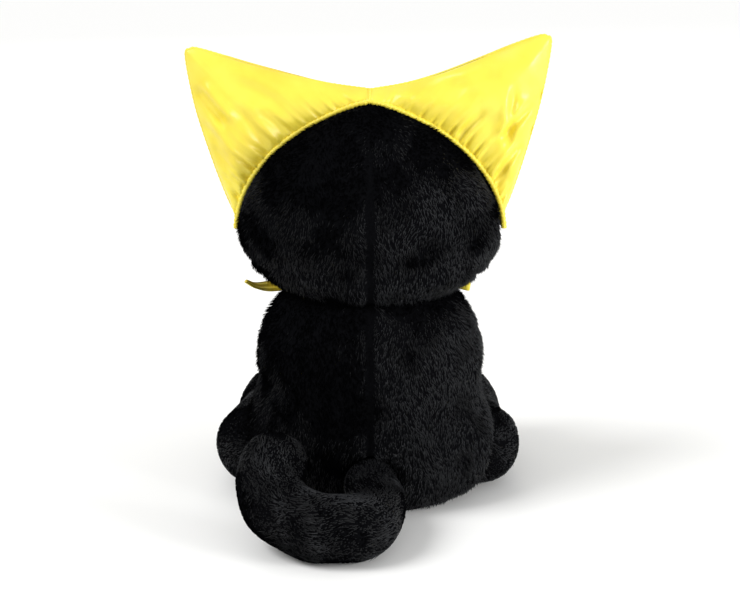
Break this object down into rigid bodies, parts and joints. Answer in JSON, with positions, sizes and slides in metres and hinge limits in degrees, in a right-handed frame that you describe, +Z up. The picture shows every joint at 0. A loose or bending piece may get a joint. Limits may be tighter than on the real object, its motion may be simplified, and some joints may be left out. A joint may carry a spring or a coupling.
{
  "type": "plush cat",
  "caption": "Seated black plush cat in a tied yellow satin hood with two pointed ears, with a turning head, loose limbs and a curled tail.",
  "frame": {"origin": "middle of the flat oval base that the cat sits on, on the floor", "axes": "+Z up, the cat faces -Y, +X is the cat's own left"},
  "size_m": [0.212, 0.2466, 0.27],
  "materials": {
    "black_plush": "matte",
    "yellow_satin": "satin",
    "white_wadding": "matte",
    "bean_cotton": "matte",
    "eye_plastic": "gloss",
    "nose_plastic": "satin",
    "washer_plastic": "matte",
    "mouth_thread": "satin"
  },
  "bodies": {
    "body": {"body_back_left": "black_plush", "body_back_right": "black_plush", "body_belly_left": "black_plush", "body_belly_right": "black_plush", "body_base": "black_plush", "body_stuffing": "white_wadding", "bean_pouch": "bean_cotton"},
    "neck": {"neck_gusset": "black_plush"},
    "head": {"head_back_left": "black_plush", "head_back_right": "black_plush", "head_face": "black_plush", "head_stuffing": "white_wadding", "eye_left": "eye_plastic", "eye_right": "eye_plastic", "eye_washer_left": "washer_plastic", "eye_washer_right": "washer_plastic", "nose": "nose_plastic", "nose_washer": "washer_plastic", "mouth_stitching": "mouth_thread"},
    "hood": {"hood_wadding_left": "white_wadding", "hood_wadding_right": "white_wadding", "hood_back_left": "yellow_satin", "hood_back_right": "yellow_satin", "hood_front_left": "yellow_satin", "hood_front_right": "yellow_satin", "hood_binding_back": "yellow_satin", "hood_binding_face": "yellow_satin", "hood_tie_left": "yellow_satin", "hood_tie_right": "yellow_satin", "bow_knot": "yellow_satin", "bow_loop_left": "yellow_satin", "bow_loop_right": "yellow_satin", "bow_tail_left": "yellow_satin", "bow_tail_right": "yellow_satin"},
    "arm_left": {"arm_left_skin": "black_plush", "arm_left_stuffing": "white_wadding"},
    "arm_right": {"arm_right_skin": "black_plush", "arm_right_stuffing": "white_wadding"},
    "leg_left": {"leg_left_skin": "black_plush", "leg_left_sole": "black_plush", "leg_left_stuffing": "white_wadding"},
    "leg_right": {"leg_right_skin": "black_plush", "leg_right_sole": "black_plush", "leg_right_stuffing": "white_wadding"},
    "tail": {"tail_skin": "black_plush", "tail_stuffing": "white_wadding"}
  },
  "joints": [
    {"name": "head_turn", "type": "hinge", "parent": "body", "child": "neck", "pos_m": [0, 0, 0.075], "axis": [0, 0, 1], "range_deg": [-35, 35], "stiffness_Nm_per_rad": 0.6},
    {"name": "head_nod", "type": "hinge", "parent": "neck", "child": "head", "pos_m": [0, 0, 0.075], "axis": [-1, 0, 0], "range_deg": [-8, 8], "stiffness_Nm_per_rad": 6},
    {"name": "hood_off", "type": "slide", "parent": "head", "child": "hood", "axis": [0, -1, 0], "range_m": [0, 0.1]},
    {"name": "arm_left_swing", "type": "hinge", "parent": "body", "child": "arm_left", "pos_m": [0.049, -0.042, 0.088], "axis": [-1, 0, 0], "range_deg": [-20, 25], "stiffness_Nm_per_rad": 0.15},
    {"name": "arm_right_swing", "type": "hinge", "parent": "body", "child": "arm_right", "pos_m": [-0.049, -0.042, 0.088], "axis": [-1, 0, 0], "range_deg": [-20, 25], "stiffness_Nm_per_rad": 0.15},
    {"name": "leg_left_splay", "type": "hinge", "parent": "body", "child": "leg_left", "pos_m": [0.0655, -0.009, 0.0246], "axis": [0, 0, 1], "range_deg": [-2, 30], "stiffness_Nm_per_rad": 0.4},
    {"name": "leg_right_splay", "type": "hinge", "parent": "body", "child": "leg_right", "pos_m": [-0.0655, -0.009, 0.0246], "axis": [0, 0, -1], "range_deg": [-2, 30], "stiffness_Nm_per_rad": 0.4},
    {"name": "tail_swing", "type": "hinge", "parent": "body", "child": "tail", "pos_m": [-0.001, 0.062, 0.023], "axis": [0, 0, 1], "range_deg": [-3, 40], "stiffness_Nm_per_rad": 0.3}
  ]
}
